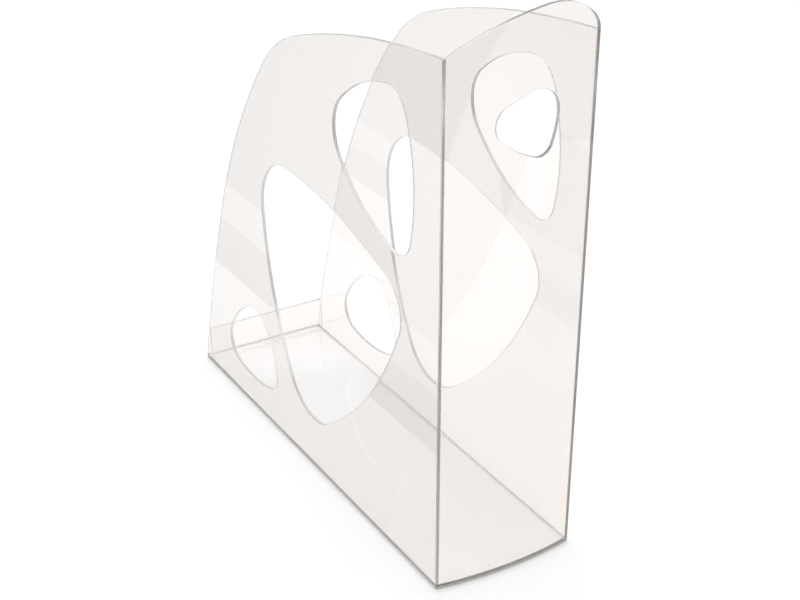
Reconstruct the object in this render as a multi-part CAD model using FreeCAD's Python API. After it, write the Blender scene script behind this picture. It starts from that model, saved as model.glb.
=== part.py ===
"""Magazine rack: five clear plastic plates bonded along their edges.

A floor plate carries two mirrored side panels, a bowed spine panel at the rear and a low lip
across the front.  Millimetres, +Z up, depth along Y with the spine at -Y, width along X.
The origin is the centre of the rack's footprint, on the surface that the rack stands on.
"""
import FreeCAD, Part
import math
import os

# ---- driving dimensions ----
width = 87.0               # outside, across the two side panels
side_depth = 296.0         # front to rear along a side panel's foot
spine_bow = 4.0            # how far the spine bulges out behind the side panels
corner_height = 295.0      # where the side panels meet the spine
plate = 2.0                # wall thickness of the four upright plates
floor_thickness = 3.0
lip_height = 26.0          # top of the front lip, above the table

# A side panel's top and front edge is one smooth line of arcs.  It leaves the spine's corner at
# this slope (degrees, downwards is negative), and each stretch has a radius and a turn.
panel_start_slope = -3.6
panel_arcs = ((579.0, 14.9), (92.0, 30.4), (383.0, 19.6))

# The spine's top edge, in the same form, read from the left side panel to the right one.
crest_start_slope = 29.4
crest_arcs = ((144.0, 22.9), (36.0, 50.4))

# Each opening is a pebble: three corner circles (along, up, radius) joined by three gently
# bulged sides.  Along is the distance from the spine's corner, up is the height.
upper_opening = dict(corners=((49.0, 251.0, 18.0), (42.0, 197.0, 14.0), (83.0, 230.0, 22.5)),
                     bulges=(105.0, 104.0, 92.0))
main_opening = dict(corners=((162.0, 151.5, 34.5), (58.0, 146.5, 20.5), (139.0, 66.0, 31.5)),
                    bulges=(313.0, 235.0, 215.0))
lower_opening = dict(corners=((213.5, 55.5, 19.0), (199.5, 38.0, 12.5), (240.0, 37.5, 14.0)),
                     bulges=(83.0, 86.0, 68.0))
# On the spine, along is the distance from the left edge.
finger_opening = dict(corners=((37.0, 258.5, 9.5), (52.5, 247.0, 7.5), (51.0, 261.0, 12.0)),
                      bulges=(60.0, 60.0, 400.0))

# ---- places worked out from the dimensions ----
half_width = width / 2
half_inside = half_width - plate
rear_y = -(side_depth + spine_bow) / 2        # the spine's outermost line
corner_y = rear_y + spine_bow                 # the outside vertical corners
front_y = corner_y + side_depth
bow_radius = (half_width ** 2 + spine_bow ** 2) / (2 * spine_bow)
bow_centre_y = rear_y + bow_radius
inner_bow_radius = bow_radius - plate
mitre_y = bow_centre_y - math.sqrt(inner_bow_radius ** 2 - half_inside ** 2)


def point_on(centre, radius, angle):
    """The point at an angle (radians) on a circle."""
    return centre[0] + radius * math.cos(angle), centre[1] + radius * math.sin(angle)


def arc_edge(place, centre, radius, start, end):
    """An arc between two angles; place turns a flat (along, up) pair into a point in space."""
    middle = (start + end) / 2
    ends = [place(*point_on(centre, radius, angle)) for angle in (start, middle, end)]
    return Part.Arc(*ends).toShape()


def line_edge(place, start, end):
    """A straight edge between two flat points."""
    return Part.LineSegment(place(*start), place(*end)).toShape()


def pebble_face(place, corners, bulges):
    """A rounded triangle: corner circles joined by larger arcs that hold both circles inside."""
    sides = []
    for index, bulge in enumerate(bulges):
        first, second = corners[index], corners[(index + 1) % 3]
        reach_first = bulge - first[2]
        reach_second = bulge - second[2]
        gap = math.dist(first[:2], second[:2])
        along = (reach_first ** 2 - reach_second ** 2 + gap ** 2) / (2 * gap)
        aside = math.sqrt(reach_first ** 2 - along ** 2)
        unit = ((second[0] - first[0]) / gap, (second[1] - first[1]) / gap)
        centre = (first[0] + unit[0] * along - unit[1] * aside,
                  first[1] + unit[1] * along + unit[0] * aside)
        leaves = math.atan2(first[1] - centre[1], first[0] - centre[0])
        arrives = math.atan2(second[1] - centre[1], second[0] - centre[0])
        arrives = leaves + (arrives - leaves) % (2 * math.pi)
        sides.append((centre, bulge, leaves, arrives))
    edges = []
    for index, side in enumerate(sides):
        edges.append(arc_edge(place, *side))
        corner = corners[(index + 1) % 3]
        leaves = side[3]
        arrives = leaves + (sides[(index + 1) % 3][2] - leaves) % (2 * math.pi)
        edges.append(arc_edge(place, corner[:2], corner[2], leaves, arrives))
    return Part.Face(Part.Wire(edges))


def falling_curve(place, start, slope, arcs, end):
    """Clockwise arcs that follow each other smoothly, and one more that closes on the end."""
    heading = math.radians(slope)
    here = start
    edges = []
    for radius, turn in arcs:
        centre = (here[0] + radius * math.sin(heading), here[1] - radius * math.cos(heading))
        first = heading + math.pi / 2
        heading = heading - math.radians(turn)
        last = heading + math.pi / 2
        edges.append(arc_edge(place, centre, radius, first, last))
        here = point_on(centre, radius, last)
    chord = math.dist(here, end)
    lean = heading - math.atan2(end[1] - here[1], end[0] - here[0])
    radius = chord / (2 * math.sin(lean))
    centre = (here[0] + radius * math.sin(heading), here[1] - radius * math.cos(heading))
    first = heading + math.pi / 2
    edges.append(arc_edge(place, centre, radius, first, first - 2 * lean))
    return edges


def on_side_plane(x):
    """Places (along, up) on the upright plane of a side panel."""
    return lambda along, up: FreeCAD.Vector(x, corner_y + along, up)


def on_spine_plane(along, up):
    """Places (along, up) on the upright plane behind the spine, from its left edge."""
    return FreeCAD.Vector(along - half_width, rear_y - 1, up)


def bow_arc(radius, half_chord):
    """The rear arc of the plan, from the left side to the right one."""
    y = bow_centre_y - math.sqrt(radius ** 2 - half_chord ** 2)
    return Part.Arc(FreeCAD.Vector(-half_chord, y, 0),
                    FreeCAD.Vector(0, bow_centre_y - radius, 0),
                    FreeCAD.Vector(half_chord, y, 0)).toShape()


def floor_plate():
    """The plate that everything stands on, with its rear edge bowed like the spine."""
    corners = [FreeCAD.Vector(half_width, corner_y, 0), FreeCAD.Vector(half_width, front_y, 0),
               FreeCAD.Vector(-half_width, front_y, 0), FreeCAD.Vector(-half_width, corner_y, 0)]
    edges = [bow_arc(bow_radius, half_width)]
    edges += [Part.LineSegment(corners[i], corners[i + 1]).toShape() for i in range(3)]
    return Part.Face(Part.Wire(edges)).extrude(FreeCAD.Vector(0, 0, floor_thickness))


def side_panel(side):
    """A side panel: side is -1 for the left one and 1 for the right one."""
    outer_x = side * half_width
    inner_x = side * half_inside
    place = on_side_plane(outer_x)
    rear_top = (0.0, corner_height)
    rear_foot = (0.0, floor_thickness)
    front_foot = (side_depth, floor_thickness)
    edges = falling_curve(place, rear_top, panel_start_slope, panel_arcs, front_foot)
    edges.append(line_edge(place, front_foot, rear_foot))
    edges.append(line_edge(place, rear_foot, rear_top))
    inwards = FreeCAD.Vector(-side * plate, 0, 0)
    solid = Part.Face(Part.Wire(edges)).extrude(inwards)
    for opening in (upper_opening, main_opening, lower_opening):
        solid = solid.cut(pebble_face(place, **opening).extrude(inwards))
    wedge = Part.makePolygon([FreeCAD.Vector(outer_x, corner_y, 0),
                              FreeCAD.Vector(outer_x, corner_y - 1, 0),
                              FreeCAD.Vector(inner_x, corner_y - 1, 0),
                              FreeCAD.Vector(inner_x, mitre_y, 0),
                              FreeCAD.Vector(outer_x, corner_y, 0)])
    return solid.cut(Part.Face(wedge).extrude(FreeCAD.Vector(0, 0, corner_height + 1)))


def spine_panel():
    """The bowed rear panel: its plan, cut by its front outline and the finger opening."""
    left = Part.LineSegment(FreeCAD.Vector(-half_inside, mitre_y, 0),
                            FreeCAD.Vector(-half_width, corner_y, 0)).toShape()
    right = Part.LineSegment(FreeCAD.Vector(half_width, corner_y, 0),
                             FreeCAD.Vector(half_inside, mitre_y, 0)).toShape()
    plan = Part.Wire([left, bow_arc(bow_radius, half_width), right,
                      bow_arc(inner_bow_radius, half_inside)])
    sheet = Part.Face(plan)
    sheet.translate(FreeCAD.Vector(0, 0, floor_thickness))
    sheet = sheet.extrude(FreeCAD.Vector(0, 0, 2 * corner_height))
    left_top = (0.0, corner_height)
    right_top = (width, corner_height)
    outline = falling_curve(on_spine_plane, left_top, crest_start_slope, crest_arcs, right_top)
    outline.append(line_edge(on_spine_plane, right_top, (width, floor_thickness)))
    outline.append(line_edge(on_spine_plane, (width, floor_thickness), (0.0, floor_thickness)))
    outline.append(line_edge(on_spine_plane, (0.0, floor_thickness), left_top))
    through = FreeCAD.Vector(0, 2 * plate + 2 * spine_bow, 0)
    solid = sheet.common(Part.Face(Part.Wire(outline)).extrude(through))
    return solid.cut(pebble_face(on_spine_plane, **finger_opening).extrude(through))


def front_lip(lip_front):
    """The low plate between the side panels that stops magazines from sliding out."""
    return Part.makeBox(2 * half_inside, plate, lip_height - floor_thickness,
                        FreeCAD.Vector(-half_inside, lip_front - plate, floor_thickness))


def front_edge_y(panel, height):
    """How far forward a side panel reaches at a height."""
    cut = panel.common(Part.makeBox(width, side_depth, 0.1,
                                    FreeCAD.Vector(-half_width, 0, height)))
    return cut.BoundBox.YMax


def main():
    os.makedirs("parts", exist_ok=True)
    left = side_panel(-1)
    pieces = {
        "floor_plate": floor_plate(),
        "left_side_panel": left,
        "right_side_panel": side_panel(1),
        "spine_panel": spine_panel(),
        "front_lip": front_lip(front_edge_y(left, lip_height)),
    }
    for name, shape in pieces.items():
        solid = shape.Solids[0]
        box = solid.BoundBox
        print(name, len(shape.Solids), solid.isValid(), round(solid.Volume), box)
        solid.exportStep("parts/" + name + ".step")


main()
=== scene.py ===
"""Magazine rack: the visual model of five clear plastic plates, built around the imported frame.

Every plate is one closed surface.  Its flat or bowed faces are joined round every outline and
every opening by a softened edge: a small profile that is carried along the outline.
"""
import math

import bpy
import numpy as np
from bpy.props import FloatProperty, FloatVectorProperty, PointerProperty
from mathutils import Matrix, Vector
from mathutils.geometry import delaunay_2d_cdt


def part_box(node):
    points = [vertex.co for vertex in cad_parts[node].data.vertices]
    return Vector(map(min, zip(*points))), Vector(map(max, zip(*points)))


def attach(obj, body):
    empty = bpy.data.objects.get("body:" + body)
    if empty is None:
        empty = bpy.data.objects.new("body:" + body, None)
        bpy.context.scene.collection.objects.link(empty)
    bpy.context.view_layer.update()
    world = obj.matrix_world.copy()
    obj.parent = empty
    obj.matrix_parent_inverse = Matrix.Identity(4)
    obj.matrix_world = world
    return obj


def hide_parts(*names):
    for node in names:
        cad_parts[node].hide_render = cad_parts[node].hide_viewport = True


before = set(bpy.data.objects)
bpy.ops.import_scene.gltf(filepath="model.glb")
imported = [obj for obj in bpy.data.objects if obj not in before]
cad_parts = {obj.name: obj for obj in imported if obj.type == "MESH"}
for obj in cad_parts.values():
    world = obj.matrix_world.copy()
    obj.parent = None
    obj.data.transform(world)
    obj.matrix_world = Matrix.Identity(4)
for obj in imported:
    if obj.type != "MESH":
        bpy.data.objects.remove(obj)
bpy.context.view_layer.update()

bl_info = {
    "name": "Magazine rack",
    "version": (1, 0, 0),
    "blender": (4, 5, 0),
    "location": "View3D > Sidebar > Rack",
    "description": "Builds a clear plastic magazine rack around its packed frame",
    "category": "Object",
}

MM = 0.001
BODY = "root"

# ---- places read from the frame ----
FLOOR_LOW, FLOOR_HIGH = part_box("floor_plate")
LEFT_LOW, LEFT_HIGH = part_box("left_side_panel")
SPINE_LOW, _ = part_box("spine_panel")
LIP_LOW, LIP_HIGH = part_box("front_lip")
WIDTH = FLOOR_HIGH.x - FLOOR_LOW.x
HALF_WIDTH = WIDTH / 2
PLATE = LEFT_HIGH.x - LEFT_LOW.x
FLOOR_TOP = FLOOR_HIGH.z
CORNER_Y = LEFT_LOW.y
FRONT_Y = LEFT_HIGH.y
CORNER_HEIGHT = LEFT_HIGH.z
SPINE_BOW = CORNER_Y - SPINE_LOW.y
BOW_RADIUS = (HALF_WIDTH ** 2 + SPINE_BOW ** 2) / (2 * SPINE_BOW)
BOW_CENTRE_Y = SPINE_LOW.y + BOW_RADIUS
HALF_INSIDE = HALF_WIDTH - PLATE
MITRE_Y = BOW_CENTRE_Y - math.sqrt((BOW_RADIUS - PLATE) ** 2 - HALF_INSIDE ** 2)
MITRE_REACH = 8.0 * MM     # how much of a plate's end is drawn out of square to form the mitre

# ---- outlines, as the plates are drawn: millimetres and degrees ----
# The side panels' top and front edge: its first slope, then a radius and a turn per stretch.
PANEL_START_SLOPE = -3.6
PANEL_ARCS = ((579.0, 14.9), (92.0, 30.4), (383.0, 19.6))
# The spine's wavy top edge in the same form, from left to right.
CREST_START_SLOPE = 29.4
CREST_ARCS = ((144.0, 22.9), (36.0, 50.4))
# Pebble openings: three corner circles (along, up, radius) and the radii of the sides between.
UPPER_OPENING = (((49.0, 251.0, 18.0), (42.0, 197.0, 14.0), (83.0, 230.0, 22.5)),
                 (105.0, 104.0, 92.0))
MAIN_OPENING = (((162.0, 151.5, 34.5), (58.0, 146.5, 20.5), (139.0, 66.0, 31.5)),
                (313.0, 235.0, 215.0))
LOWER_OPENING = (((213.5, 55.5, 19.0), (199.5, 38.0, 12.5), (240.0, 37.5, 14.0)),
                 (83.0, 86.0, 68.0))
FINGER_OPENING = (((37.0, 258.5, 9.5), (52.5, 247.0, 7.5), (51.0, 261.0, 12.0)),
                  (60.0, 60.0, 400.0))
SMOOTH_COSINE = 0.999      # two stretches run on smoothly if their normals agree this closely

# ---- finish of the plastic: noise scales are counted per metre ----
SWAY_SCALE = 9.0                       # slow waves in the polished faces
CLOUD_SCALE = 38.0                     # faint cloudiness
STREAK_STRETCH = (60.0, 3.0, 60.0)     # draws the rubbed marks out along the floor plate
STREAK_SCALE = 6.0
POLISH = 0.004                         # roughness of a perfectly clear spot
MARK_ROUGHNESS = 0.03                  # what clouds and marks add to it
FLOOR_LIGHTENING_POWER = 0.15                     # painted light: power that thins the floor plate's face tint so that it reads brighter
MOTTLE = 0.99                          # darkest tone of a surface, as a share of its palest
# Painted shade: between these heights the floor plate's edge darkens towards the seam above it.
SEAM_SHADE_LINE = (0.55 * FLOOR_TOP, 0.8 * FLOOR_TOP)

# ---- stage: metres and degrees, but the flags' corners on the floor are in millimetres ----
CAMERA_PLACE = (-0.391, -0.694, 0.512)
CAMERA_TURN = (60.1, 0.69, -29.6)
CAMERA_SHIFT = (0.0427, 0.0831)
SENSOR_WIDTH = 36.0            # millimetres, as the lens is
SOFT_BOX_SIZE = 2.6
SOFT_BOX_PLACE = (0.2, 0.3, 2.0)
SOFT_BOX_TARGET = (0.0, 0.1, 0.0)
WALLS_END = (0.488, 0.508)     # sines of the elevations where the walls give way to the ceiling
BOUNCES = 200                  # light bounces many times inside a clear plate before it leaves
FLOOR_RINGS = (0.0, 0.3, 1.0, 3.0, 12.0)
FLOOR_DROP = 0.1 * MM          # the floor lies this far below the rack
FLAG_RISE = 0.5 * MM           # and the flags this far above the rack's underside
FLAGS = {
    # The foot flag is a painted shadow: a grey strip where the rack's shadow falls on the floor,
    # which only reflections show.
    "foot_shadow_flag": ("foot_shadow_flag", ((-45, 1500), (-45, -400), (-113, -400), (-113, 1500))),
    "band_flag": ("band_flag", ((-150, 1500), (-150, -400), (-191, -400), (-183, 300),
                                (-183, 1500))),
    "far_left_flag": ("left_flag", ((-183, 1500), (-183, 300), (-191, -400), (-1200, -400),
                                    (-1200, 1500))),
    "near_left_flag": ("left_flag", ((-113, 1500), (-113, -400), (-150, -400), (-150, 1500))),
    "front_flag": ("front_flag", ((-678, -36), (1318, -1177), (577, -2480), (-1419, -1340))),
    "right_flag": ("front_flag", ((420, -664), (863, -90), (2400, -90), (2400, -1796))),
}


# ---------------------------------------------------------------------------
# Settings
# ---------------------------------------------------------------------------

class RackPlateSettings(bpy.types.PropertyGroup):
    """Sizes of the plates' finish that the frame leaves open."""
    edge_soften: FloatProperty(
        name="Edge softening", description="Radius of the polished round on each plate's edges",
        default=0.4 * MM, min=0.05 * MM, max=1.0 * MM, subtype="DISTANCE", unit="LENGTH")
    corner_soften: FloatProperty(
        name="Corner softening", description="Radius that takes the point off outline corners",
        default=0.6 * MM, min=0.1 * MM, max=3.0 * MM, subtype="DISTANCE", unit="LENGTH")
    seam_gap: FloatProperty(
        name="Seam gap", description="Width of the hairline left at each bonded seam",
        default=0.05 * MM, min=0.0, max=0.3 * MM, subtype="DISTANCE", unit="LENGTH")
    outline_step: FloatProperty(
        name="Outline step", description="Longest step between points along a curved outline",
        default=1.6 * MM, min=0.5 * MM, max=6.0 * MM, subtype="DISTANCE", unit="LENGTH")


class RackPlasticSettings(bpy.types.PropertyGroup):
    """The clear plastic."""
    face_colour: FloatVectorProperty(
        name="Face colour", description="Tint of the polished faces",
        default=(0.952, 0.928, 0.911), min=0.0, max=1.0, size=3, subtype="COLOR")
    # Painted shade: the grey of the satin edges stands in for the dark outlines that clear edges
    # show.
    rim_shade_colour: FloatVectorProperty(
        name="Rim colour", description="Tint of the satin edges",
        default=(0.85, 0.85, 0.85), min=0.0, max=1.0, size=3, subtype="COLOR")
    # Painted shade: the grey that the floor plate's edge takes along its seam with the uprights.
    seam_shade_colour: FloatVectorProperty(
        name="Seam colour", description="Tint of the floor plate's edge along the bonded seam",
        default=(0.25, 0.25, 0.25), min=0.0, max=1.0, size=3, subtype="COLOR")
    rim_roughness: FloatProperty(
        name="Rim roughness", description="Roughness of the satin edges",
        default=0.4, min=0.0, max=1.0)
    tint: FloatVectorProperty(
        name="Plastic tint", description="Colour that light takes on inside the plastic",
        default=(0.62, 0.60, 0.575), min=0.0, max=1.0, size=3, subtype="COLOR")
    density: FloatProperty(
        name="Tint density", description="How fast the plastic takes up light, per metre",
        default=5.0, min=0.0, max=1000.0)
    refraction: FloatProperty(
        name="Refractive index", description="Index of clear polystyrene",
        default=1.59, min=1.0, max=2.0)


class RackStageSettings(bpy.types.PropertyGroup):
    """Floor, light and camera."""
    floor_colour: FloatVectorProperty(
        name="Floor colour", description="Colour of the plain floor",
        default=(0.93, 0.93, 0.93), min=0.0, max=1.0, size=3, subtype="COLOR")
    key_power: FloatProperty(
        name="Key power", description="Power of the overhead soft box",
        default=30.0, min=0.0, max=500.0, unit="POWER")
    wall_strength: FloatProperty(
        name="Wall strength", description="Brightness of the studio walls at eye level",
        default=1.3, min=0.0, max=5.0)
    ceiling_strength: FloatProperty(
        name="Ceiling strength", description="Brightness of the studio's ceiling",
        default=0.7, min=0.0, max=5.0)
    left_flag: FloatProperty(
        name="Left flags", description="Grey of the two dark flags that the left panel reflects",
        default=0.12, min=0.0, max=1.0)
    band_flag: FloatProperty(
        name="Band flag", description="Grey of the strip between the two dark left flags",
        default=0.45, min=0.0, max=1.0)
    # Painted shadow: the foot flag's grey stands in for the rack's shadow on the floor beside the
    # left panel.
    foot_shadow_flag: FloatProperty(
        name="Foot flag", description="Grey of the strip beside the left side panel's foot",
        default=0.65, min=0.0, max=1.0)
    front_flag: FloatProperty(
        name="Front flags", description="Grey of the two flags that the spine reflects",
        default=0.15, min=0.0, max=1.0)
    camera_lens: FloatProperty(
        name="Lens", description="Focal length of the camera, in millimetres",
        default=68.27, min=10.0, max=300.0)


# ---------------------------------------------------------------------------
# Outlines: each stretch is (points, outward normals), travelled anticlockwise
# ---------------------------------------------------------------------------

def arc_stretch(centre, radius, start, end, step, turned=1.0):
    """Points centre + radius * (cos a, sin a) for a from start to end, with normals that point
    away from the centre, or towards it when turned is -1."""
    count = max(4, int(math.ceil(abs(end - start) * radius / step)) + 1)
    angles = np.linspace(start, end, count)
    normals = np.stack([np.cos(angles), np.sin(angles)], axis=1)
    return np.asarray(centre) + radius * normals, turned * normals


def line_stretch(start, end, step):
    """Evenly spaced points from start to end; the normal is the direction turned to its right."""
    start, end = np.asarray(start, float), np.asarray(end, float)
    length = np.linalg.norm(end - start)
    share = np.linspace(0.0, 1.0, max(3, int(length / step) + 1))[:, None]
    ahead = (end - start) / length
    normals = np.repeat([[ahead[1], -ahead[0]]], len(share), axis=0)
    return start + share * (end - start), normals


def rounded_corner(point, first, second, radius):
    """A fan of points centre + radius * n, with n turning from the first normal to the second.
    The centre lies inside the corner by the radius along both normals."""
    centre = point - radius * (first + second) / (1.0 + first @ second)
    begin = math.atan2(first[1], first[0])
    turn = math.atan2(first[0] * second[1] - first[1] * second[0], first @ second)
    angles = begin + turn * np.linspace(0.0, 1.0, 7)
    normals = np.stack([np.cos(angles), np.sin(angles)], axis=1)
    return centre + radius * normals, normals


def joined_loop(stretches, corner_radius):
    """One closed loop.  Where two stretches meet smoothly their shared point is used once, and
    elsewhere it becomes a rounded corner."""
    points, normals = [], []
    for index, (here, facing) in enumerate(stretches):
        ahead, facing_ahead = stretches[(index + 1) % len(stretches)]
        first, second = facing[-1], facing_ahead[0]
        before = stretches[index - 1][1][-1]
        begin = 0 if before @ facing[0] > SMOOTH_COSINE else 1
        points.append(here[begin:-1])
        normals.append(facing[begin:-1])
        if first @ second <= SMOOTH_COSINE:
            fan, fan_facing = rounded_corner(here[-1], first, second, corner_radius)
            points.append(fan)
            normals.append(fan_facing)
    return np.concatenate(points), np.concatenate(normals)


def pebble_loop(opening, step):
    """A rounded triangle, travelled clockwise because it is an opening: three corner circles
    joined by larger arcs that touch both of their circles from outside."""
    corners, bulges = opening
    corners = [np.array(corner) * MM for corner in corners]
    sides = []
    for index, bulge in enumerate(bulges):
        first, second, bulge = corners[index], corners[(index + 1) % 3], bulge * MM
        reach = bulge - first[2]
        span = second[:2] - first[:2]
        gap = np.linalg.norm(span)
        along = (reach ** 2 - (bulge - second[2]) ** 2 + gap ** 2) / (2 * gap)
        aside = math.sqrt(reach ** 2 - along ** 2)
        unit = span / gap
        centre = first[:2] + unit * along + np.array([-unit[1], unit[0]]) * aside
        leaves = math.atan2(first[1] - centre[1], first[0] - centre[0])
        arrives = math.atan2(second[1] - centre[1], second[0] - centre[0])
        sides.append((centre, bulge, leaves, leaves + (arrives - leaves) % math.tau))
    stretches = []
    for index, (centre, bulge, leaves, arrives) in enumerate(sides):
        corner = corners[(index + 1) % 3]
        turn = (sides[(index + 1) % 3][2] - arrives) % math.tau
        stretches.append(arc_stretch(centre, bulge, leaves, arrives, step))
        stretches.append(arc_stretch(corner[:2], corner[2], arrives, arrives + turn, step / 2))
    points, normals = joined_loop(stretches, 0.0)
    return points[::-1], -normals[::-1]


def falling_stretches(start, slope, arcs, end, step):
    """Clockwise arcs from the start that follow each other smoothly, then one that closes on
    the end, all turned round so that they run anticlockwise, from the end back to the start."""
    heading = math.radians(slope)
    here = np.asarray(start, float)
    stretches = []

    def add(radius, turn):
        nonlocal heading, here
        centre = here + radius * np.array([math.sin(heading), -math.cos(heading)])
        first = heading + math.pi / 2
        points, normals = arc_stretch(centre, radius, first, first - turn, step)
        stretches.append((points[::-1], normals[::-1]))
        heading -= turn
        here = points[-1]

    for radius, turn in arcs:
        add(radius * MM, math.radians(turn))
    chord = np.asarray(end) - here
    lean = heading - math.atan2(chord[1], chord[0])
    add(np.linalg.norm(chord) / (2 * math.sin(lean)), 2 * lean)
    return stretches[::-1]


# ---------------------------------------------------------------------------
# Plates
# ---------------------------------------------------------------------------

def edge_profile(thickness, soften):
    """The section of a softened edge, from the front face round to the back face: how far each
    point lies inside the outline, how deep it lies, and its normal (outward, deeper).  It is a
    quarter circle, a straight run and a quarter circle."""
    angles = np.linspace(0.0, math.pi / 2, 6)
    inset = soften * (1.0 - np.sin(angles))
    depth = soften * (1.0 - np.cos(angles))
    inset = np.concatenate([inset, inset[::-1]])
    depth = np.concatenate([depth, (thickness - depth)[::-1]])
    outward = np.concatenate([np.sin(angles), np.sin(angles)[::-1]])
    deeper = np.concatenate([-np.cos(angles), np.cos(angles)[::-1]])
    return inset, depth, outward, deeper


def inside_loops(points, loops):
    """Whether each point is inside an odd number of loops, by counting the crossings of a ray
    that runs in the first direction."""
    crossings = np.zeros(len(points), int)
    for loop in loops:
        start, end = loop, np.roll(loop, -1, axis=0)
        spans = (start[:, 1] > points[:, 1, None]) != (end[:, 1] > points[:, 1, None])
        rise = np.where(end[:, 1] == start[:, 1], 1.0, end[:, 1] - start[:, 1])
        share = (points[:, 1, None] - start[:, 1]) / rise
        cross_at = start[:, 0] + share * (end[:, 0] - start[:, 0])
        crossings += (spans & (cross_at > points[:, 0, None])).sum(axis=1)
    return crossings % 2 == 1


def grid_inside(loops, spacing, clearance):
    """Points of a regular grid that lie inside the sheet and clear of every loop."""
    low, high = loops[0].min(axis=0), loops[0].max(axis=0)
    along = np.arange(low[0] + spacing[0], high[0], spacing[0])
    up = np.arange(low[1] + spacing[1], high[1], spacing[1])
    grid = np.stack(np.meshgrid(along, up), axis=-1).reshape(-1, 2)
    grid = grid[inside_loops(grid, loops)]
    rim = np.concatenate(loops)
    nearest = np.sqrt(((grid[:, None, :] - rim[None, :, :]) ** 2).sum(axis=2)).min(axis=1)
    return grid[nearest > clearance]


def sheet_triangles(loops, extra):
    """Triangles that fill the sheet between the loops, as indices into loops then extra.  The
    points are handed over in millimetres, which suits the tolerance."""
    flat = np.concatenate(loops + [extra])
    edges = []
    start = 0
    for loop in loops:
        ring = np.arange(start, start + len(loop))
        edges.append(np.stack([ring, np.roll(ring, -1)], axis=1))
        start += len(loop)
    rows = [Vector(row) for row in (flat * 1000.0).tolist()]
    _, _, faces, origins, _, _ = delaunay_2d_cdt(
        rows, np.concatenate(edges).tolist(), [], 0, 1e-6, True)
    back = np.array([origin[0] for origin in origins])
    triangles = back[np.array(faces)]
    middles = flat[triangles].mean(axis=1)
    return triangles[inside_loops(middles, loops)]


def plate_object(name, loops, thickness, place, spacing=None):
    """A closed plate.  Its rim is the edge profile carried along every loop, and its two faces
    are the same triangles at depth zero and at full depth.  place(along, up, depth) gives the
    point in space and the directions of along, up and deeper there.  Every loop is first drawn
    in by the seam gap.  The rim attribute is 1 on the edge and 0 on the two faces."""
    sizes = bpy.context.scene.rack_plates
    soften = sizes.edge_soften
    loops = [(points - sizes.seam_gap * facing, facing) for points, facing in loops]
    inset, depth, outward, deeper = edge_profile(thickness, soften)
    rings = len(inset)
    on_edge = np.array([0.0] + [1.0] * (rings - 2) + [0.0])
    flat, flat_depth, flat_outward, flat_deeper, quads, rim = [], [], [], [], [], []
    start = 0
    bands = []
    for points, facing in loops:
        grid = points[:, None, :] - inset[None, :, None] * facing[:, None, :]
        flat.append(grid.reshape(-1, 2))
        flat_depth.append(np.tile(depth, len(points)))
        flat_outward.append((outward[None, :, None] * facing[:, None, :]).reshape(-1, 2))
        flat_deeper.append(np.tile(deeper, len(points)))
        rim.append(np.tile(on_edge, len(points)))
        index = start + np.arange(len(points) * rings).reshape(len(points), rings)
        ahead = np.roll(index, -1, axis=0)
        corners = [index[:, :-1], index[:, 1:], ahead[:, 1:], ahead[:, :-1]]
        quads.append(np.stack(corners, axis=-1).reshape(-1, 4))
        bands.append(index)
        start += index.size
    front_loops = [points - soften * facing for points, facing in loops]
    extra = np.empty((0, 2))
    if spacing is not None:
        extra = grid_inside(front_loops, spacing, 0.4 * min(spacing))
    triangles = sheet_triangles(front_loops, extra)
    for at_depth, side in ((0.0, -1.0), (thickness, 1.0)):
        flat.append(extra)
        flat_depth.append(np.full(len(extra), at_depth))
        flat_outward.append(np.zeros((len(extra), 2)))
        flat_deeper.append(np.full(len(extra), side))
        rim.append(np.zeros(len(extra)))
    front = np.concatenate([band[:, 0] for band in bands] + [start + np.arange(len(extra))])
    back = np.concatenate([band[:, -1] for band in bands]
                          + [start + len(extra) + np.arange(len(extra))])
    flat = np.concatenate(flat)
    position, along, up, inwards = place(flat[:, 0], flat[:, 1], np.concatenate(flat_depth))
    flat_outward = np.concatenate(flat_outward)
    flat_deeper = np.concatenate(flat_deeper)
    normal = (along * flat_outward[:, :1] + up * flat_outward[:, 1:]
              + inwards * flat_deeper[:, None])
    normal /= np.linalg.norm(normal, axis=1)[:, None]
    faces = [front[triangles], back[triangles[:, ::-1]]]
    piece = mesh_object(name, position, np.concatenate(quads), np.concatenate(faces), normal)
    shade = piece.data.attributes.new("rim", "FLOAT", "POINT")
    shade.data.foreach_set("value", np.concatenate(rim))
    return piece


def mesh_object(name, position, quads, triangles, normal):
    """A mesh from arrays.  A face whose winding disagrees with its normals is turned round."""
    def facing_out(faces):
        corner = position[faces]
        cross = np.cross(corner[:, 1] - corner[:, 0], corner[:, 2] - corner[:, 0])
        agrees = (cross * normal[faces].mean(axis=1)).sum(axis=1) >= 0
        return np.where(agrees[:, None], faces, faces[:, ::-1])

    mesh = bpy.data.meshes.new(name)
    faces = facing_out(quads).tolist() + facing_out(triangles).tolist()
    mesh.from_pydata(position.tolist(), [], faces)
    mesh.polygons.foreach_set("use_smooth", np.ones(len(faces), bool))
    mesh.normals_split_custom_set_from_vertices(normal.tolist())
    mesh.update()
    piece = bpy.data.objects.new(name, mesh)
    bpy.context.scene.collection.objects.link(piece)
    return piece


def flat_place(origin, along, up, inwards, mitre=0.0):
    """A flat plate's place: origin + along * a + up * u + inwards * d.  With a mitre, the stretch
    next to along = 0 is drawn forward by up to the mitre as it goes deeper."""
    origin, along, up, inwards = (np.array(v, float) for v in (origin, along, up, inwards))

    def place(a, u, depth):
        near = np.clip(1.0 - a / MITRE_REACH, 0.0, 1.0)
        a = a + near * mitre * depth / PLATE
        position = (origin + a[:, None] * along + u[:, None] * up + depth[:, None] * inwards)
        ones = np.ones((len(a), 1))
        return position, ones * along, ones * up, ones * inwards

    return place


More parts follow.
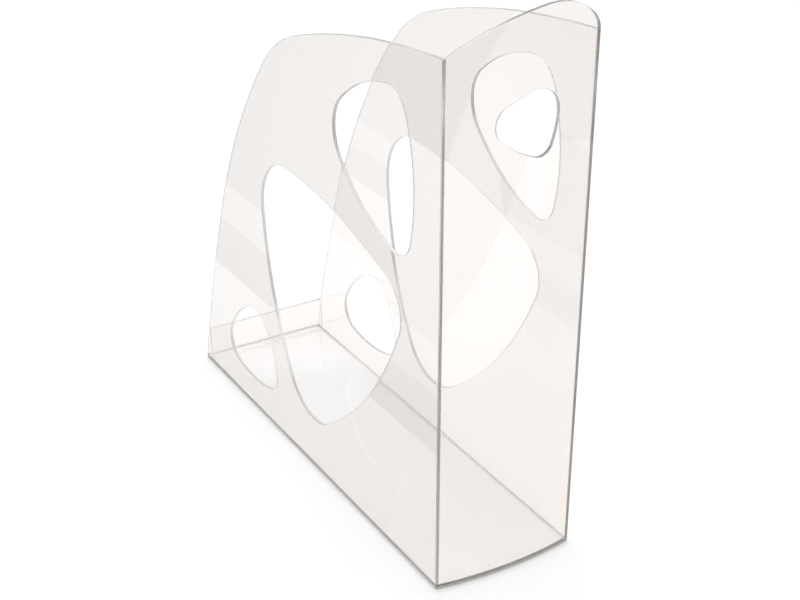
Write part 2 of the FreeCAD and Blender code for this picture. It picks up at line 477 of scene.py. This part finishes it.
def bowed_place(a, u, depth):
    """The spine's place: a circle of BOW_RADIUS in plan, less the depth.  The angle comes from
    the distance across the flat width, and both ends draw in along the mitre as they go
    deeper."""
    across = a - HALF_WIDTH
    near = np.clip(1.0 - (HALF_WIDTH - np.abs(across)) / MITRE_REACH, 0.0, 1.0)
    drawn_in = math.asin(HALF_WIDTH / BOW_RADIUS) - math.asin(HALF_INSIDE / (BOW_RADIUS - PLATE))
    angle = np.arcsin(across / BOW_RADIUS) - np.sign(across) * near * drawn_in * depth / PLATE
    radius = BOW_RADIUS - depth
    zero, one = np.zeros_like(a), np.ones_like(a)
    side, rear = np.sin(angle), -np.cos(angle)
    position = np.stack([radius * side, BOW_CENTRE_Y + radius * rear, u], axis=1)
    along = np.stack([-rear, side, zero], axis=1)
    up = np.stack([zero, zero, one], axis=1)
    inwards = np.stack([-side, -rear, zero], axis=1)
    return position, along, up, inwards


# ---------------------------------------------------------------------------
# Materials
# ---------------------------------------------------------------------------

class Socket:
    """A shader output that Python operators turn into Math nodes."""

    def __init__(self, graph, output):
        self.graph = graph
        self.output = output

    def _math(self, operation, *values):
        return self.graph.node("ShaderNodeMath", {"operation": operation},
                               dict(enumerate(values)))

    def __add__(self, other):
        return self._math("ADD", self, other)

    def __radd__(self, other):
        return self._math("ADD", other, self)

    def __mul__(self, other):
        return self._math("MULTIPLY", self, other)

    def __rmul__(self, other):
        return self._math("MULTIPLY", other, self)

    def __pow__(self, other):
        return self._math("POWER", self, other)


class Graph:
    """A material's node tree, emptied, with one method that adds any node."""

    def __init__(self, tree):
        self.tree = tree
        tree.nodes.clear()

    def node(self, kind, settings=None, inputs=None, output=0):
        """Adds a node: its settings first, then the values or links of its sockets."""
        made = self.tree.nodes.new(kind)
        for name, value in (settings or {}).items():
            setattr(made, name, value)
        for name, value in (inputs or {}).items():
            if isinstance(value, Socket):
                self.tree.links.new(value.output, made.inputs[name])
            else:
                made.inputs[name].default_value = value
        if not made.outputs:
            return None
        return Socket(self, made.outputs[output])


def object_point(graph, scale=(1.0, 1.0, 1.0)):
    """Object coordinates, stretched by a scale."""
    point = graph.node("ShaderNodeTexCoord", output="Object")
    return graph.node("ShaderNodeMapping", {}, {"Vector": point, "Scale": scale})


def noise(graph, point, scale, detail=2.0, roughness=0.5):
    """Smooth noise between 0 and 1."""
    return graph.node("ShaderNodeTexNoise", {},
                      {"Vector": point, "Scale": scale, "Detail": detail,
                       "Roughness": roughness})


def mixed_colour(graph, share, first, second):
    """A colour between two, by a share."""
    return graph.node("ShaderNodeMix", {"data_type": "RGBA"},
                      {"Factor": share, 6: first, 7: second}, output=2)


def clear_plastic(name, settings, rubbed_with_painted_light):
    """Clear polished polystyrene.  The faces pass light with a faint warm grey tint, and the
    edges are satin and greyer; the grey is painted shade for their dark outlines.  The moulded
    faces are very slightly wavy and cloudy.  A rubbed plate has fine marks along its length, a
    thinner tint that is painted light to make it read clearer, and a painted shade on its edge
    along the seam."""
    material = bpy.data.materials.new(name)
    material.use_nodes = True
    graph = Graph(material.node_tree)
    wide = object_point(graph)
    sway = noise(graph, wide, SWAY_SCALE, 1.0)
    cloud = noise(graph, wide, CLOUD_SCALE, 3.0, 0.6)
    marks = cloud
    tone = settings.face_colour
    # The edges' grey tint is painted shade for their dark outlines. Their satin roughness is the
    # real finish.
    edge = (*settings.rim_shade_colour, 1.0)
    if rubbed_with_painted_light:
        # Painted light: the floor plate's tint is thinned so that it reads brighter.
        tone = [share ** FLOOR_LIGHTENING_POWER for share in tone]
        # Painted shade: the floor plate's edge is clear at the bottom and darkens towards the
        # seam with the uprights.
        height = graph.node("ShaderNodeSeparateXYZ", {}, {"Vector": wide}, output="Z")
        seam = graph.node("ShaderNodeMapRange", {"interpolation_type": "SMOOTHSTEP"}, {
            "Value": height, "From Min": SEAM_SHADE_LINE[0], "From Max": SEAM_SHADE_LINE[1]})
        edge = mixed_colour(graph, seam, (1.0, 1.0, 1.0, 1.0), (*settings.seam_shade_colour, 1.0))
        streak = noise(graph, object_point(graph, STREAK_STRETCH), STREAK_SCALE, 3.0, 0.6)
        marks = cloud * 0.5 + (streak ** 2.0) * 0.9
    bump = graph.node("ShaderNodeBump", {}, {"Strength": 0.35, "Distance": 0.0006,
                                             "Height": sway})
    face = mixed_colour(graph, cloud, (*(MOTTLE * share for share in tone), 1.0), (*tone, 1.0))
    rim = graph.node("ShaderNodeAttribute", {"attribute_name": "rim"}, output="Fac")
    colour = mixed_colour(graph, rim, face, edge)
    shader = graph.node("ShaderNodeBsdfPrincipled", {}, {
        "Base Color": colour,
        "Roughness": POLISH + marks * MARK_ROUGHNESS + rim * settings.rim_roughness,
        "IOR": settings.refraction,
        "Transmission Weight": 1.0,
        "Normal": bump,
    })
    tint = graph.node("ShaderNodeVolumeAbsorption", {}, {
        "Color": (*settings.tint, 1.0),
        "Density": settings.density,
    })
    graph.node("ShaderNodeOutputMaterial", {}, {"Surface": shader, "Volume": tint})
    return material


def floor_material(settings):
    """A plain matt pale floor with a barely visible mottle."""
    material = bpy.data.materials.new("studio_floor")
    material.use_nodes = True
    graph = Graph(material.node_tree)
    mottle = noise(graph, object_point(graph), 6.0, 3.0)
    base = tuple(settings.floor_colour)
    colour = mixed_colour(graph, mottle, (*base, 1.0), (*(MOTTLE * c for c in base), 1.0))
    shader = graph.node("ShaderNodeBsdfPrincipled", {}, {
        "Base Color": colour, "Roughness": 0.9, "Specular IOR Level": 0.0})
    graph.node("ShaderNodeOutputMaterial", {}, {"Surface": shader})
    return material


def finish_plate(piece, node, slot):
    """Gives a plate its plastic, made once for each slot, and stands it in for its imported
    node."""
    name = slot + "_polystyrene"
    material = bpy.data.materials.get(name)
    if material is None:
        material = clear_plastic(name, bpy.context.scene.rack_plastic, slot == "clear_floor")
    piece.data.materials.append(material)
    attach(piece, BODY)
    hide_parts(node)


# ---------------------------------------------------------------------------
# Operators
# ---------------------------------------------------------------------------

class RACK_OT_floor(bpy.types.Operator):
    """Build the floor plate, whose rear edge is bowed like the spine"""
    bl_idname = "rack.floor"
    bl_label = "Floor plate"

    def execute(self, context):
        sizes = context.scene.rack_plates
        step = sizes.outline_step
        half_turn = math.asin(HALF_WIDTH / BOW_RADIUS)
        rear_middle = -math.pi / 2
        centre = (0.0, BOW_CENTRE_Y)
        stretches = [
            arc_stretch(centre, BOW_RADIUS, rear_middle - half_turn, rear_middle + half_turn,
                        step),
            line_stretch((HALF_WIDTH, CORNER_Y), (HALF_WIDTH, FRONT_Y), 10 * step),
            line_stretch((HALF_WIDTH, FRONT_Y), (-HALF_WIDTH, FRONT_Y), 10 * step),
            line_stretch((-HALF_WIDTH, FRONT_Y), (-HALF_WIDTH, CORNER_Y), 10 * step),
        ]
        loops = [joined_loop(stretches, sizes.corner_soften)]
        place = flat_place((0, 0, 0), (1, 0, 0), (0, 1, 0), (0, 0, 1))
        piece = plate_object("floor_plate_clear", loops, FLOOR_TOP, place)
        finish_plate(piece, "floor_plate", "clear_floor")
        return {"FINISHED"}


class RACK_OT_side_panels(bpy.types.Operator):
    """Build the two mirrored side panels with their three pebble openings"""
    bl_idname = "rack.side_panels"
    bl_label = "Side panels"

    def execute(self, context):
        sizes = context.scene.rack_plates
        step = sizes.outline_step
        depth = FRONT_Y - CORNER_Y
        stretches = falling_stretches((0.0, CORNER_HEIGHT), PANEL_START_SLOPE, PANEL_ARCS,
                                      (depth, FLOOR_TOP), step)
        stretches.append(line_stretch((0.0, CORNER_HEIGHT), (0.0, FLOOR_TOP), 10 * step))
        stretches.append(line_stretch((0.0, FLOOR_TOP), (depth, FLOOR_TOP), 10 * step))
        loops = [joined_loop(stretches, sizes.corner_soften)]
        loops += [pebble_loop(opening, step)
                  for opening in (UPPER_OPENING, MAIN_OPENING, LOWER_OPENING)]
        for side, word in ((-1.0, "left"), (1.0, "right")):
            place = flat_place((side * HALF_WIDTH, CORNER_Y, 0), (0, 1, 0), (0, 0, 1),
                               (-side, 0, 0), MITRE_Y - CORNER_Y)
            piece = plate_object(word + "_side_panel_clear", loops, PLATE, place)
            finish_plate(piece, word + "_side_panel", "clear_plate")
        return {"FINISHED"}


class RACK_OT_spine(bpy.types.Operator):
    """Build the bowed spine with its wavy top edge and finger opening"""
    bl_idname = "rack.spine"
    bl_label = "Spine panel"

    def execute(self, context):
        sizes = context.scene.rack_plates
        step = sizes.outline_step
        stretches = falling_stretches((0.0, CORNER_HEIGHT), CREST_START_SLOPE, CREST_ARCS,
                                      (WIDTH, CORNER_HEIGHT), step)
        stretches.append(line_stretch((0.0, CORNER_HEIGHT), (0.0, FLOOR_TOP), 3 * step))
        stretches.append(line_stretch((0.0, FLOOR_TOP), (WIDTH, FLOOR_TOP), 2 * step))
        stretches.append(line_stretch((WIDTH, FLOOR_TOP), (WIDTH, CORNER_HEIGHT), 3 * step))
        loops = [joined_loop(stretches, sizes.corner_soften), pebble_loop(FINGER_OPENING, step)]
        piece = plate_object("spine_panel_clear", loops, PLATE, bowed_place,
                             spacing=(2.5 * MM, 6.0 * MM))
        finish_plate(piece, "spine_panel", "clear_plate")
        return {"FINISHED"}


class RACK_OT_lip(bpy.types.Operator):
    """Build the low lip across the front"""
    bl_idname = "rack.lip"
    bl_label = "Front lip"

    def execute(self, context):
        sizes = context.scene.rack_plates
        low = (LIP_LOW.x, FLOOR_TOP)
        high = (LIP_HIGH.x, LIP_HIGH.z)
        corners = [low, (high[0], low[1]), high, (low[0], high[1])]
        stretches = [line_stretch(corners[i], corners[(i + 1) % 4], 8.0 * MM) for i in range(4)]
        loops = [joined_loop(stretches, sizes.corner_soften)]
        place = flat_place((0, LIP_LOW.y, 0), (1, 0, 0), (0, 0, 1), (0, 1, 0))
        piece = plate_object("front_lip_clear", loops, LIP_HIGH.y - LIP_LOW.y, place)
        finish_plate(piece, "front_lip", "clear_plate")
        return {"FINISHED"}


class RACK_OT_stage(bpy.types.Operator):
    """Lay the pale floor and set the soft studio light and the camera"""
    bl_idname = "rack.stage"
    bl_label = "Stage"

    def execute(self, context):
        settings = context.scene.rack_stage
        self.lay_floor(settings)
        self.lay_flags(settings)
        self.set_light(context, settings)
        self.set_camera(context, settings)
        return {"FINISHED"}

    def lay_floor(self, settings):
        """A round sheet in polar rings: radius times (cos a, sin a), just under the rack."""
        radii = np.array(FLOOR_RINGS)
        angles = np.linspace(0.0, math.tau, 73)[:-1]
        ring = np.stack([np.cos(angles), np.sin(angles)], axis=1)
        disc = (radii[1:, None, None] * ring).reshape(-1, 2)
        points = np.column_stack([disc, np.full(len(disc), -FLOOR_DROP)])
        index = np.arange(len(disc)).reshape(len(radii) - 1, len(angles))
        around = np.roll(index, -1, axis=1)
        quads = np.stack([index[:-1], index[1:], around[1:], around[:-1]], axis=-1)
        mesh = bpy.data.meshes.new("studio_floor")
        mesh.from_pydata(points.tolist(), [], quads.reshape(-1, 4).tolist()
                         + [index[0].tolist()])
        floor = bpy.data.objects.new("studio_floor", mesh)
        mesh.materials.append(floor_material(settings))
        bpy.context.scene.collection.objects.link(floor)

    def lay_flags(self, settings):
        """Flat grey flags beside the rack, which only reflections show.  They give the plates'
        polished faces soft darker fields with straight borders."""
        for name, (setting, outline) in FLAGS.items():
            self.flag(name, getattr(settings, setting), outline)

    def flag(self, name, grey, outline):
        """One flag: a flat polygon just above the floor, in millimetres."""
        points = [(x * MM, y * MM, FLAG_RISE) for x, y in outline]
        mesh = bpy.data.meshes.new(name)
        mesh.from_pydata(points, [], [tuple(range(len(points)))])
        material = bpy.data.materials.new(name)
        material.use_nodes = True
        graph = Graph(material.node_tree)
        shader = graph.node("ShaderNodeBsdfDiffuse", {}, {"Color": (grey, grey, grey, 1.0)})
        graph.node("ShaderNodeOutputMaterial", {}, {"Surface": shader})
        mesh.materials.append(material)
        card = bpy.data.objects.new(name, mesh)
        for ray in ("camera", "diffuse", "transmission", "volume_scatter", "shadow"):
            setattr(card, "visible_" + ray, False)
        bpy.context.scene.collection.objects.link(card)

    def set_light(self, context, settings):
        """Pale studio walls below a greyer ceiling, and one large soft box overhead.  The
        strength changes smoothly at the top of the walls, by the sine of the elevation."""
        world = bpy.data.worlds.new("studio_walls")
        world.use_nodes = True
        graph = Graph(world.node_tree)
        direction = graph.node("ShaderNodeTexCoord", output="Generated")
        height = graph.node("ShaderNodeSeparateXYZ", {}, {"Vector": direction}, output="Z")
        strength = graph.node("ShaderNodeMapRange", {"interpolation_type": "SMOOTHSTEP"}, {
            "Value": height, "From Min": WALLS_END[0], "From Max": WALLS_END[1],
            "To Min": settings.wall_strength, "To Max": settings.ceiling_strength})
        walls = graph.node("ShaderNodeBackground", {}, {"Strength": strength})
        graph.node("ShaderNodeOutputWorld", {}, {"Surface": walls})
        context.scene.world = world
        soft_box("overhead", settings.key_power, SOFT_BOX_SIZE, SOFT_BOX_PLACE, SOFT_BOX_TARGET)
        context.scene.cycles.max_bounces = BOUNCES
        context.scene.cycles.transmission_bounces = BOUNCES
        context.scene.cycles.glossy_bounces = BOUNCES
        context.scene.cycles.blur_glossy = 0.0

    def set_camera(self, context, settings):
        """A long lens from above, in front of the spine's left corner."""
        camera = bpy.data.cameras.new("camera")
        camera.lens = settings.camera_lens
        camera.sensor_width = SENSOR_WIDTH
        camera.shift_x, camera.shift_y = CAMERA_SHIFT
        camera.clip_start = 0.01
        rig = bpy.data.objects.new("camera", camera)
        rig.location = CAMERA_PLACE
        rig.rotation_euler = tuple(math.radians(angle) for angle in CAMERA_TURN)
        context.scene.collection.objects.link(rig)
        context.scene.camera = rig
        context.scene.view_settings.view_transform = "Standard"


def soft_box(name, power, size, location, target):
    """A square area light that faces the target."""
    light = bpy.data.lights.new(name, "AREA")
    light.energy = power
    light.size = size
    lamp = bpy.data.objects.new(name, light)
    lamp.location = location
    aim = Vector(target) - Vector(location)
    lamp.rotation_euler = aim.to_track_quat("-Z", "Y").to_euler()
    bpy.context.scene.collection.objects.link(lamp)


class RACK_PT_panel(bpy.types.Panel):
    """The rack's pieces, its plastic and its stage"""
    bl_idname = "RACK_PT_panel"
    bl_label = "Magazine rack"
    bl_space_type = "VIEW_3D"
    bl_region_type = "UI"
    bl_category = "Rack"

    def draw(self, context):
        layout = self.layout
        for group in ("rack_plates", "rack_plastic", "rack_stage"):
            settings = getattr(context.scene, group)
            for name in settings.__annotations__:
                layout.prop(settings, name)
        for operator in OPERATORS:
            layout.operator(operator.bl_idname)


GROUPS = {"rack_plates": RackPlateSettings, "rack_plastic": RackPlasticSettings,
          "rack_stage": RackStageSettings}
OPERATORS = (RACK_OT_stage, RACK_OT_floor, RACK_OT_side_panels, RACK_OT_spine, RACK_OT_lip)


def register():
    for cls in (*GROUPS.values(), *OPERATORS, RACK_PT_panel):
        bpy.utils.register_class(cls)
    for name, cls in GROUPS.items():
        setattr(bpy.types.Scene, name, PointerProperty(type=cls))


def unregister():
    for name in GROUPS:
        delattr(bpy.types.Scene, name)
    for cls in reversed((*GROUPS.values(), *OPERATORS, RACK_PT_panel)):
        bpy.utils.unregister_class(cls)


def main():
    register()
    bpy.ops.rack.stage()
    bpy.ops.rack.floor()
    bpy.ops.rack.side_panels()
    bpy.ops.rack.spine()
    bpy.ops.rack.lip()


if __name__ == "__main__":
    main()
